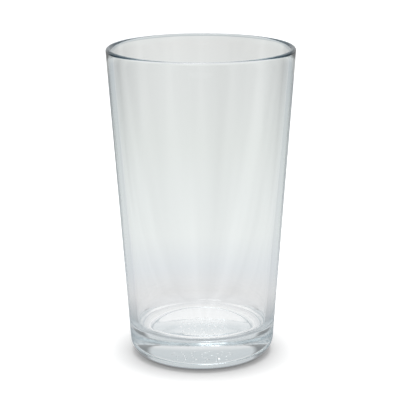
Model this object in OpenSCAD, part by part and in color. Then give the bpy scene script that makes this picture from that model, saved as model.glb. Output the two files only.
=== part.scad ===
// Mixing glass: a one-piece pressed tumbler with a heavy base, for stirring and shaking drinks.
// Lengths are in millimetres and angles in degrees. +Z is up. The origin is on the axis, in the
// plane of the foot.

/* [Body] */
// Overall height, from the foot to the top of the rim
height = 149; // [140:0.5:160]
// Outside diameter of the outer cone at the height of the rim
mouth_d = 89; // [86:0.5:92]
// Outside diameter that the outer cone has in the plane of the foot
foot_d = 68.4; // [65:0.1:70]
// Radius of the rounded heel, between the outer cone and the foot
heel_r = 8; // [5:0.5:9]

/* [Wall and floor] */
// Thickness of the wall at the rim, measured level
rim_t = 2.6; // [2.2:0.1:3.4]
// Thickness that the wall has in the plane of the foot, measured level
root_t = 4.2; // [3.8:0.1:5]
// Height of the middle of the floor above the foot
floor_h = 18; // [16:0.5:20]
// Radius of the ball that gives the floor its low dome
dome_r = 97.5; // [90:2.5:120]
// Radius of the curve between the floor and the wall
fillet_r = 5; // [4:0.5:7]

/* [Foot] */
// Diameter of the recess under the base, in the plane of the foot
recess_d = 49.2; // [46:0.2:50]
// Height of the recess
recess_h = 2; // [1.2:0.1:2.6]
// Level width of the recess's sloping edge
recess_run = 1.5; // [0.4:0.1:2]

/* [Mould dots] */
// Number of raised dots in the outer ring
dots_outer = 14; // [8:1:18]
// Number of raised dots in the middle ring
dots_middle = 9; // [5:1:12]
// Number of raised dots in the inner ring
dots_inner = 4; // [3:1:6]
// Diameter of the outer ring of dots
ring_outer_d = 18; // [16:0.5:22]
// Diameter of the middle ring of dots
ring_middle_d = 12; // [10.5:0.5:13.5]
// Diameter of the inner ring of dots
ring_inner_d = 6; // [4.5:0.5:7.5]
// Diameter of the ball that shapes each dot
dot_d = 1.2; // [1:0.1:1.4]

/* [Hidden] */
$fn = 160;

// Outer cone: radius in the foot plane, and how much the radius grows with each unit of height.
foot_r = foot_d / 2;
outer_slope = (mouth_d / 2 - foot_r) / height;
outer_lean = atan(outer_slope);

// Inner cone, in the same way.
bore_r = foot_r - root_t;
inner_slope = (mouth_d / 2 - rim_t - bore_r) / height;
inner_lean = atan(inner_slope);

function outer_radius(z) = foot_r + outer_slope * z;
function inner_radius(z) = bore_r + inner_slope * z;

// The heel's circle touches the foot plane and the outer cone.
heel_c = [outer_radius(heel_r) - heel_r / cos(outer_lean), heel_r];

// The rim's circle touches both cones and the plane of the rim.
rim_r = rim_t / (outer_slope - inner_slope + 1 / cos(outer_lean) + 1 / cos(inner_lean));
rim_c = [outer_radius(height - rim_r) - rim_r / cos(outer_lean), height - rim_r];

// The ball that domes the floor, with its centre on the axis.
dome_c = [0, floor_h - dome_r];

// The fillet's circle touches the inner cone and the floor's ball: its centre lies on a line beside
// the cone, and as far from the ball's centre as the two radii together.
fillet_x = bore_r - fillet_r / cos(inner_lean);
fillet_a = 1 + pow(inner_slope, 2);
fillet_b = fillet_x * inner_slope - dome_c.y;
fillet_k = pow(fillet_x, 2) + pow(dome_c.y, 2) - pow(dome_r + fillet_r, 2);
fillet_z = (sqrt(pow(fillet_b, 2) - fillet_a * fillet_k) - fillet_b) / fillet_a;
fillet_c = [fillet_x + inner_slope * fillet_z, fillet_z];
dome_edge = dome_c + (fillet_c - dome_c) * dome_r / (dome_r + fillet_r);

// Each dot's ball is sunk this far into the roof of the recess.
dot_sink = dot_d / 6;

// Points where a circle of radius r around c touches the outer or the inner cone.
function outer_touch(c, r) = c + r * [cos(outer_lean), -sin(outer_lean)];
function inner_touch(c, r) = c - r * [cos(inner_lean), -sin(inner_lean)];
function fillet_touch(c, r) = c + r * [cos(inner_lean), -sin(inner_lean)];

// Half of the outside shape, filled up to the axis.
module outside_profile() {
    polygon([
        [0, 0],
        [heel_c.x, 0],
        outer_touch(heel_c, heel_r),
        outer_touch(rim_c, rim_r),
        inner_touch(rim_c, rim_r),
        [0, rim_c.y]
    ]);
    translate(heel_c) circle(heel_r);
    translate(rim_c) circle(rim_r);
}

// Half of the space for the drink.
module cavity_profile() {
    difference() {
        polygon([
            [0, dome_edge.y],
            dome_edge,
            fillet_touch(fillet_c, fillet_r),
            inner_touch(rim_c, rim_r),
            [inner_touch(rim_c, rim_r).x, height + 1],
            [0, height + 1]
        ]);
        translate(dome_c) circle(dome_r, $fn = 1440);
    }
    translate(fillet_c) circle(fillet_r);
}

// Half of the recess under the base.
module recess_profile() {
    polygon([
        [0, -1],
        [recess_d / 2, -1],
        [recess_d / 2, 0],
        [recess_d / 2 - recess_run, recess_h],
        [0, recess_h]
    ]);
}

module dot_ring(count, ring_d) {
    for (i = [0 : count - 1])
        rotate(i * 360 / count)
            translate([ring_d / 2, 0, recess_h + dot_sink]) sphere(d = dot_d, $fn = 32);
}

module glass() {
    color("azure", 0.35) {
        rotate_extrude() difference() {
            outside_profile();
            cavity_profile();
            recess_profile();
        }
        dot_ring(dots_outer, ring_outer_d);
        dot_ring(dots_middle, ring_middle_d);
        dot_ring(dots_inner, ring_inner_d);
    }
}

glass();
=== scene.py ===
"""A one-piece pressed mixing glass on a white sweep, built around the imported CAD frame.

Lengths are in metres, apart from the glass's own shape, which is in millimetres. The glass
stands on z = 0 with its axis on Z.
"""
from math import atan, cos, pi, radians, sin, sqrt

import bmesh
import bpy
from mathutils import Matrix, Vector


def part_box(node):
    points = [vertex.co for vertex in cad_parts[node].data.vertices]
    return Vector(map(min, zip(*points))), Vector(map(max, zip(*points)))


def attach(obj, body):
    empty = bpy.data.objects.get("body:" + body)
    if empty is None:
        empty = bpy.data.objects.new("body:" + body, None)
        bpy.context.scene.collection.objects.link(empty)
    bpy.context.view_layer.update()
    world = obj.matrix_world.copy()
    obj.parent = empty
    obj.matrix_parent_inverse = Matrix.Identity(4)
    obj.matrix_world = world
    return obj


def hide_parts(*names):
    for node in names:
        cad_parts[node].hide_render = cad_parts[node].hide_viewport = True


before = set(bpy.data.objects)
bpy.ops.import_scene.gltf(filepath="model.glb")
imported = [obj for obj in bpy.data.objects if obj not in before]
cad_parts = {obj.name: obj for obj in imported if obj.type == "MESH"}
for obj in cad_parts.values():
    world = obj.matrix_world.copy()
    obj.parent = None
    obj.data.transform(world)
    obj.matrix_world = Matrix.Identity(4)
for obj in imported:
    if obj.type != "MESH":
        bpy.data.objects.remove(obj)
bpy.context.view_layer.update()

MM = 0.001
WHITE = (1.0, 1.0, 1.0)

# ------------------------------------------------------------ shape of the glass, in millimetres
low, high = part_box("glass")
HEIGHT = (high.z - low.z) / MM
MOUTH_R = 44.5
FOOT_R = 34.2
HEEL_R = 8.0
RIM_T = 2.6
ROOT_T = 4.2
FLOOR_H = 18.0
DOME_R = 97.5
FILLET_R = 5.0
RECESS_R = 24.6
RECESS_H = 2.0
RECESS_RUN = 1.5
DOT_R = 0.6
DOT_SINK = 0.2
DOTS_REACH = 10.0  # the dots lie inside this radius
DOT_RINGS = ((14, 9.0), (9, 6.0), (4, 3.0))  # count and radius of each ring of raised dots
ROOF_TOLERANCE = 0.01
ON_AXIS = 1e-6

# The cones: how much their radius grows with each millimetre of height, and their lean.
OUTER_SLOPE = (MOUTH_R - FOOT_R) / HEIGHT
OUTER_LEAN = atan(OUTER_SLOPE)
BORE_R = FOOT_R - ROOT_T
INNER_SLOPE = (MOUTH_R - RIM_T - BORE_R) / HEIGHT
INNER_LEAN = atan(INNER_SLOPE)

# Faces round the glass, and along each stretch of its half section.
SEGMENTS = 288
DOTTED_STEPS = 90
ROOF_STEPS = 12
RECESS_EDGE_STEPS = 4
FOOT_STEPS = 4
HEEL_STEPS = 28
WALL_STEPS = 40
RIM_STEPS = 24
FILLET_STEPS = 28
DOME_STEPS = 40

# ---------------------------------------------------------------- material of the glass
IOR = 1.52
ABSORB = (0.60, 0.74, 0.79)
DENSITY = 3.0
WAVE_SCALE = (110, 110, 9)
WAVE_DETAIL = 1.0
WAVE_STRENGTH = 0.3
WAVE_HEIGHT = 0.0001
GRAIN_SCALE = 250
GRAIN_DETAIL = 3.0
GRAIN_RANGE = (0.5, 0.8)
GRAIN_ROUGH = 0.02

# ---------------------------------------------------------------- light and tones of the stage
# Painted light and shade of the floor by distance from the axis, for rays that come through the
# glass or off it: white under the foot and a painted darker ring round it.
FLOOR_SIZE = 8
PAINTED_FLOOR_LIGHT = (
    (0.024, (1.0, 1.0, 1.0)),
    (0.034, (0.78, 0.79, 0.80)),
    (0.09, (0.77, 0.77, 0.77)),
    (0.13, (0.76, 0.79, 0.81)),
    (0.19, (0.83, 0.86, 0.85)),
    (0.28, (0.81, 0.84, 0.83)),
    (0.43, (0.78, 0.81, 0.79)),
    (0.63, (0.77, 0.79, 0.78)),
    (0.79, (0.765, 0.785, 0.775)),
    (0.93, (0.76, 0.77, 0.76)),
)
# Between eight directions on the floor its painted light falls off. The reach is measured
# sideways from the nearest direction.
LOBE_ANGLE = radians(45)
LOBE_REACH = (0.08, 0.30)
LOBE_DARK = 0.45
# Soft radial streaks in the painted light round the floor.
STREAKS = 60
STREAK_DETAIL = 2.0
STREAK_DEPTH = 0.07

# The room's tone by the height of a direction, from level to straight up.
DOME_TONES = (
    (0.0, (0.85, 0.87, 0.88)),
    (0.33, (0.74, 0.78, 0.80)),
    (0.5, (1.0, 1.0, 1.0)),
    (0.7, (1.0, 1.0, 1.0)),
    (1.0, (0.85, 0.87, 0.88)),
)
# Two darker bands beside the glass, by how far a direction turns aside.
SIDE_TONES = (
    (0.58, (1.0, 1.0, 1.0)),
    (0.67, (0.34, 0.34, 0.34)),
    (0.84, (0.34, 0.34, 0.34)),
    (0.92, (0.95, 0.95, 0.95)),
)
# A bright spot overhead, by the cosine of the angle from its middle.
OVERHEAD_AIM = (-0.15, 0.10, 0.984)
OVERHEAD_COSINES = (0.97, 0.985)
OVERHEAD_GAIN = 4.5

# Rays that cross the wall once show these painted tones, on the floor by distance and in the
# room: a painted grey shade on the glass's edges.
PAINTED_EDGE_TONES = (
    (0.055, (0.50, 0.53, 0.55)),
    (0.075, (0.64, 0.67, 0.69)),
    (0.095, (0.86, 0.87, 0.88)),
    (0.28, (0.78, 0.80, 0.82)),
    (0.60, (0.64, 0.68, 0.72)),
    (0.68, (0.66, 0.70, 0.74)),
    (0.73, (1.0, 1.0, 1.0)),
)
PAINTED_EDGE_DOME = 0.84
ONCE_CROSSINGS = 3.0  # a ray with fewer crossings of the surface has crossed the wall once
FLOOR_MEETINGS = 4.5  # and it has met fewer surfaces than this
ROOM_MEETINGS = 8.5
# Rays trapped in the wall darken with the number of surfaces that they have met: a painted slate
# shade on the glass's edges.
TRAPPED_MEETINGS = (6, 46)
PAINTED_TRAPPED_SHADE = (
    (0.0, (1.0, 1.0, 1.0)),
    (0.5, (1.0, 1.0, 1.0)),
    (0.75, (0.30, 0.36, 0.42)),
    (1.0, (0.12, 0.18, 0.225)),
)

# What the camera sees directly: a diffuse floor, shadowed by the lamp, under a painted glow that
# is dimmer near the glass and paints the soft edge of the shadow round the foot; and the backdrop.
GLOW_DISTANCES = (0.029, 0.050)
GLOW_LEVELS = (0.15, 0.41)
SEEN_WHITE = 0.9
BACKDROP = 1.6

LAMP_SIZE = 0.6
LAMP_ENERGY = 4.5
LAMP_PLACE = (0.05, 0, 0.95)

BOUNCES = 128

CAMERA_PLACE = (-0.00067, -0.700, 0.2607)
CAMERA_PITCH = 14.84  # degrees below level
CAMERA_ROLL = -0.24
CAMERA_LENS = 136.2
CAMERA_SENSOR = 36
CAMERA_CLIP = (0.01, 100)


# ---------------------------------------------------------------- the glass
def arc(centre, radius, start, end, steps):
    """Points on a circle from the start angle to the end angle, both included."""
    return [
        (
            centre[0] + radius * cos(start + (end - start) * i / steps),
            centre[1] + radius * sin(start + (end - start) * i / steps),
        )
        for i in range(steps + 1)
    ]


def line(a, b, steps):
    """Points from a to b, without b."""
    return [
        (a[0] + (b[0] - a[0]) * i / steps, a[1] + (b[1] - a[1]) * i / steps)
        for i in range(steps)
    ]


def outer_radius(z):
    """Radius of the outer cone at a height."""
    return FOOT_R + OUTER_SLOPE * z


def profile():
    """The half section, from the middle of the underside round to the middle of the floor."""
    # The heel's circle touches the foot plane and the outer cone, and the rim's circle touches
    # both cones and the plane of the rim.
    heel = (outer_radius(HEEL_R) - HEEL_R / cos(OUTER_LEAN), HEEL_R)
    rim_r = RIM_T / (OUTER_SLOPE - INNER_SLOPE + 1 / cos(OUTER_LEAN) + 1 / cos(INNER_LEAN))
    rim = (outer_radius(HEIGHT - rim_r) - rim_r / cos(OUTER_LEAN), HEIGHT - rim_r)

    # The fillet's circle touches the inner cone and the ball that domes the floor.
    dome_z = FLOOR_H - DOME_R
    foot = BORE_R - FILLET_R / cos(INNER_LEAN)
    a = 1 + INNER_SLOPE**2
    b = foot * INNER_SLOPE - dome_z
    c = foot**2 + dome_z**2 - (DOME_R + FILLET_R) ** 2
    fillet_z = (sqrt(b**2 - a * c) - b) / a
    fillet = (foot + INNER_SLOPE * fillet_z, fillet_z)
    dome_lean = atan(fillet[0] / (fillet[1] - dome_z))

    roof_r = RECESS_R - RECESS_RUN
    points = line((0, RECESS_H), (DOTS_REACH, RECESS_H), DOTTED_STEPS)
    points += line((DOTS_REACH, RECESS_H), (roof_r, RECESS_H), ROOF_STEPS)
    points += line((roof_r, RECESS_H), (RECESS_R, 0), RECESS_EDGE_STEPS)
    points += line((RECESS_R, 0), (heel[0], 0), FOOT_STEPS)
    points += arc(heel, HEEL_R, -pi / 2, -OUTER_LEAN, HEEL_STEPS)
    rim_points = arc(rim, rim_r, -OUTER_LEAN, pi - INNER_LEAN, RIM_STEPS)
    points += line(points[-1], rim_points[0], WALL_STEPS)[1:]
    points += rim_points
    fillet_points = arc(fillet, FILLET_R, -INNER_LEAN, -pi / 2 - dome_lean, FILLET_STEPS)
    points += line(rim_points[-1], fillet_points[0], WALL_STEPS)[1:]
    points += fillet_points
    points += arc((0, dome_z), DOME_R, pi / 2 - dome_lean, pi / 2, DOME_STEPS)[1:]
    return points


def revolve(name, points, segments):
    """A closed mesh of revolution from a half section whose ends lie on the axis."""
    bm = bmesh.new()
    turns = [2 * pi * i / segments for i in range(segments)]
    rings = []
    for r, z in points:
        if r < ON_AXIS:
            places = [(0, 0, z * MM)]
        else:
            places = [(r * MM * cos(turn), r * MM * sin(turn), z * MM) for turn in turns]
        rings.append([bm.verts.new(place) for place in places])
    for a, b in zip(rings, rings[1:]):
        for i in range(segments):
            j = (i + 1) % segments
            if len(a) == 1:
                face = (a[0], b[i], b[j])
            elif len(b) == 1:
                face = (a[i], b[0], a[j])
            else:
                face = (a[i], b[i], b[j], a[j])
            bm.faces.new(face).smooth = True
    bmesh.ops.recalc_face_normals(bm, faces=bm.faces)
    mesh = bpy.data.meshes.new(name)
    bm.to_mesh(mesh)
    bm.free()
    obj = bpy.data.objects.new(name, mesh)
    bpy.context.scene.collection.objects.link(obj)
    return obj


def raise_dots(obj):
    """Pushes rings of round dots down out of the roof of the recess."""
    reach = sqrt(DOT_R**2 - DOT_SINK**2)
    centres = [
        Vector((radius * cos(2 * pi * i / count), radius * sin(2 * pi * i / count)))
        for count, radius in DOT_RINGS
        for i in range(count)
    ]
    for v in obj.data.vertices:
        above_roof = v.co.z > (RECESS_H + ROOF_TOLERANCE) * MM
        if above_roof or v.co.xy.length > DOTS_REACH * MM:
            continue
        p = v.co.xy / MM
        away = min((p - c).length for c in centres)
        if away < reach:
            v.co.z = (RECESS_H + DOT_SINK - sqrt(DOT_R**2 - away**2)) * MM


# ---------------------------------------------------------------- shader nodes
UNIT = (0.0, 1.0)
# A colour Mix node's sockets.
MIX_FACTOR, MIX_FIRST, MIX_SECOND, MIX_RESULT = 0, 6, 7, 2


def add(tree, kind, inputs=(), **settings):
    """A shader node with its settings; its inputs are set to values, or linked from sockets."""
    made = tree.nodes.new("ShaderNode" + kind)
    for name, value in settings.items():
        setattr(made, name, value)
    for name, value in dict(inputs).items():
        if isinstance(value, bpy.types.NodeSocket):
            tree.links.new(value, made.inputs[name])
        else:
            made.inputs[name].default_value = value
    return made


def opaque(colour):
    """A colour with full alpha."""
    return (*colour, 1)


def calculate(tree, operation, first, second=0.0):
    """The output of a Math node."""
    return add(tree, "Math", {0: first, 1: second}, operation=operation).outputs[0]


def rescale(tree, value, source=UNIT, target=UNIT):
    """A value moved from the source range to the target range, and held inside it."""
    made = add(tree, "MapRange", {
        "Value": value,
        "From Min": source[0], "From Max": source[1],
        "To Min": target[0], "To Max": target[1],
    })
    return made.outputs["Result"]


def ramp(tree, factor, stops):
    """The colour output of a ramp with a colour at each position."""
    made = add(tree, "ValToRGB", {"Fac": factor})
    band = made.color_ramp
    band.elements.remove(band.elements[1])
    for k, (position, colour) in enumerate(stops):
        stop = band.elements[0] if k == 0 else band.elements.new(position)
        stop.position = position
        stop.color = opaque(colour)
    return made.outputs["Color"]


def mix(tree, kind, factor, first, second):
    """Two colours mixed in the given way."""
    inputs = {MIX_FACTOR: factor, MIX_FIRST: first, MIX_SECOND: second}
    made = add(tree, "Mix", inputs, data_type="RGBA", blend_type=kind)
    return made.outputs[MIX_RESULT]


def blend(tree, first, second):
    """Two colours multiplied."""
    return mix(tree, "MULTIPLY", 1.0, first, second)


def paint_edge_shade(tree, path, edge, meetings):
    """White for rays that come straight through the body, the painted edge tone for rays that pass
    through the wall only once, and painted slate shade for the ones trapped in the wall."""
    share = rescale(tree, path.outputs["Ray Depth"], TRAPPED_MEETINGS)
    once = calculate(
        tree, "MULTIPLY",
        calculate(tree, "LESS_THAN", path.outputs["Transmission Depth"], ONCE_CROSSINGS),
        calculate(tree, "LESS_THAN", path.outputs["Ray Depth"], meetings),
    )
    tone = mix(tree, "MIX", once, opaque(WHITE), edge)
    return blend(tree, ramp(tree, share, PAINTED_TRAPPED_SHADE), tone)


def azimuth(tree, place):
    """The angle round Z of a place or a direction."""
    split = add(tree, "SeparateXYZ", {0: place})
    return calculate(tree, "ARCTAN2", split.outputs["Y"], split.outputs["X"])


def aside(tree, direction):
    """How far a direction turns from the Y axis towards the X axis, from 0 to 1."""
    return calculate(tree, "ABSOLUTE", calculate(tree, "COSINE", azimuth(tree, direction)))


def lobe_angle(tree, place):
    """The angle round Z from a place to the nearest of the eight directions at 45 degrees."""
    return calculate(tree, "PINGPONG", azimuth(tree, place), LOBE_ANGLE / 2)


def streaks(tree, place):
    """Soft radial streaks in the painted light on the floor, from 0 to 1."""
    turn = calculate(tree, "MULTIPLY", azimuth(tree, place), STREAKS / (2 * pi))
    inputs = {"W": turn, "Scale": 1.0, "Detail": STREAK_DETAIL}
    return add(tree, "TexNoise", inputs, noise_dimensions="1D").outputs["Fac"]


def show(tree, output, path, painted, seen):
    """Sends the seen shader to the camera's rays and the painted one to all others."""
    both = add(tree, "MixShader", {
        0: path.outputs["Is Camera Ray"], 1: painted.outputs[0], 2: seen.outputs[0],
    })
    add(tree, output, {"Surface": both.outputs[0]})


# ---------------------------------------------------------------- materials and world
def glass_material():
    """Clear glass with a faint cool absorption, waviness and unevenness in the polish."""
    mat = bpy.data.materials.new("clear_glass")
    mat.use_nodes = True
    tree = mat.node_tree
    shader = tree.nodes["Principled BSDF"]
    shader.inputs["Base Color"].default_value = opaque(WHITE)
    shader.inputs["Transmission Weight"].default_value = 1
    shader.inputs["IOR"].default_value = IOR

    # The pressing leaves a faint upright waviness, and washing a fine unevenness in the polish.
    place = add(tree, "TexCoord").outputs["Object"]
    upright = add(tree, "Mapping", {"Vector": place, "Scale": WAVE_SCALE}).outputs["Vector"]
    waves = add(tree, "TexNoise", {"Vector": upright, "Scale": 1.0, "Detail": WAVE_DETAIL})
    bump = add(tree, "Bump", {
        "Strength": WAVE_STRENGTH, "Distance": WAVE_HEIGHT, "Height": waves.outputs["Fac"],
    })
    tree.links.new(bump.outputs["Normal"], shader.inputs["Normal"])
    grain = add(tree, "TexNoise", {
        "Vector": place, "Scale": GRAIN_SCALE, "Detail": GRAIN_DETAIL,
    })
    polish = rescale(tree, grain.outputs["Fac"], GRAIN_RANGE, (0.0, GRAIN_ROUGH))
    tree.links.new(polish, shader.inputs["Roughness"])

    volume = add(tree, "VolumeAbsorption", {"Color": opaque(ABSORB), "Density": DENSITY})
    output = tree.nodes["Material Output"]
    tree.links.new(volume.outputs["Volume"], output.inputs["Volume"])
    return mat


def floor_material():
    """A white floor for the camera, and painted light and shade for the rays that meet the glass.
    """
    mat = bpy.data.materials.new("floor")
    mat.use_nodes = True
    tree = mat.node_tree
    tree.nodes.clear()
    place = add(tree, "NewGeometry").outputs["Position"]
    path = add(tree, "LightPath")
    distance = add(tree, "VectorMath", {0: place}, operation="LENGTH").outputs["Value"]

    edge = ramp(tree, distance, PAINTED_EDGE_TONES)
    tones = ramp(tree, distance, PAINTED_FLOOR_LIGHT)
    # The painted edge shade darkens the floor's painted light.
    colour = blend(tree, tones, paint_edge_shade(tree, path, edge, FLOOR_MEETINGS))
    # The painted light falls off between eight directions and carries soft streaks.
    sine = calculate(tree, "SINE", lobe_angle(tree, place))
    sideways = calculate(tree, "MULTIPLY", distance, sine)
    level = rescale(tree, sideways, LOBE_REACH, (1.0, 1 - LOBE_DARK))
    uneven = rescale(
        tree, streaks(tree, place), target=(1 - STREAK_DEPTH, 1 + STREAK_DEPTH)
    )
    strength = calculate(tree, "MULTIPLY", level, uneven)
    # Painted light of the floor, given out as emission to the rays that meet the glass.
    sweep = add(tree, "Emission", {"Color": colour, "Strength": strength})

    # Painted glow, dim beside the foot and brighter away from it: a painted shadow on top of the
    # lamp's.
    glow_level = rescale(tree, distance, GLOW_DISTANCES, GLOW_LEVELS)
    glow = add(tree, "Emission", {"Color": opaque(WHITE), "Strength": glow_level})
    white = add(tree, "BsdfDiffuse", {"Color": opaque((SEEN_WHITE,) * 3)})
    seen = add(tree, "AddShader", {0: glow.outputs[0], 1: white.outputs[0]})
    show(tree, "OutputMaterial", path, sweep, seen)
    return mat


def studio_world():
    """A white backdrop for the camera, and painted tones for the rays that meet the glass,
    darkened by the painted edge shade.
    """
    world = bpy.data.worlds.new("studio")
    world.use_nodes = True
    tree = world.node_tree
    tree.nodes.clear()
    direction = add(tree, "TexCoord").outputs["Generated"]
    path = add(tree, "LightPath")

    height = add(tree, "SeparateXYZ", {0: direction}).outputs["Z"]
    sides = ramp(tree, aside(tree, direction), SIDE_TONES)
    room = blend(tree, ramp(tree, height, DOME_TONES), sides)
    edge = opaque((PAINTED_EDGE_DOME,) * 3)
    # The painted edge shade darkens the room's tones.
    colour = blend(tree, room, paint_edge_shade(tree, path, edge, ROOM_MEETINGS))
    facing = add(
        tree, "VectorMath", {0: direction, 1: OVERHEAD_AIM}, operation="DOT_PRODUCT"
    ).outputs["Value"]
    level = rescale(tree, facing, OVERHEAD_COSINES, (1.0, OVERHEAD_GAIN))
    dome = add(tree, "Background", {"Color": colour, "Strength": level})
    white = add(tree, "Background", {"Color": opaque(WHITE), "Strength": BACKDROP})
    show(tree, "OutputWorld", path, dome, white)
    return world


glass = revolve("mixing_glass", profile(), SEGMENTS)
raise_dots(glass)
glass.data.materials.append(glass_material())
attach(glass, "root")
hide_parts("glass")

# ---------------------------------------------------------------- stage
# The glass stands on a white floor in a white room. What it shows of them is painted for the rays
# that come through it or off it. The floor's painted light changes with distance and direction,
# the room has a bright spot overhead and two darker bands at the sides, and rays that cross the
# wall once or are trapped in it show painted darker tones, a painted shade which gives the glass
# its grey and slate edges.
scene = bpy.context.scene
scene.view_settings.view_transform = "Standard"
scene.view_settings.look = "None"
scene.cycles.caustics_refractive = False
scene.cycles.max_bounces = BOUNCES
scene.cycles.transmission_bounces = BOUNCES
scene.cycles.glossy_bounces = BOUNCES
scene.cycles.sample_clamp_indirect = 0

bpy.ops.mesh.primitive_plane_add(size=FLOOR_SIZE)
floor = bpy.context.object
floor.name = "floor"
floor.data.materials.append(floor_material())

scene.world = studio_world()

# A broad softbox overhead lights the floor and leaves the soft shadow round the foot.
key_data = bpy.data.lights.new("overhead", "AREA")
key_data.shape = "DISK"
key_data.size = LAMP_SIZE
key_data.energy = LAMP_ENERGY
key = bpy.data.objects.new("overhead", key_data)
key.location = LAMP_PLACE
key.visible_glossy = False
key.visible_transmission = False
scene.collection.objects.link(key)

# ---------------------------------------------------------------- camera
cam_data = bpy.data.cameras.new("camera")
cam_data.sensor_width = CAMERA_SENSOR
cam_data.lens = CAMERA_LENS
cam_data.clip_start, cam_data.clip_end = CAMERA_CLIP
cam = bpy.data.objects.new("camera", cam_data)
scene.collection.objects.link(cam)
scene.camera = cam
cam.location = CAMERA_PLACE
cam.rotation_euler = (radians(90 - CAMERA_PITCH), 0, 0)
# Roll: the picture leans a quarter of a degree.
cam.rotation_euler.rotate_axis("Z", radians(CAMERA_ROLL))
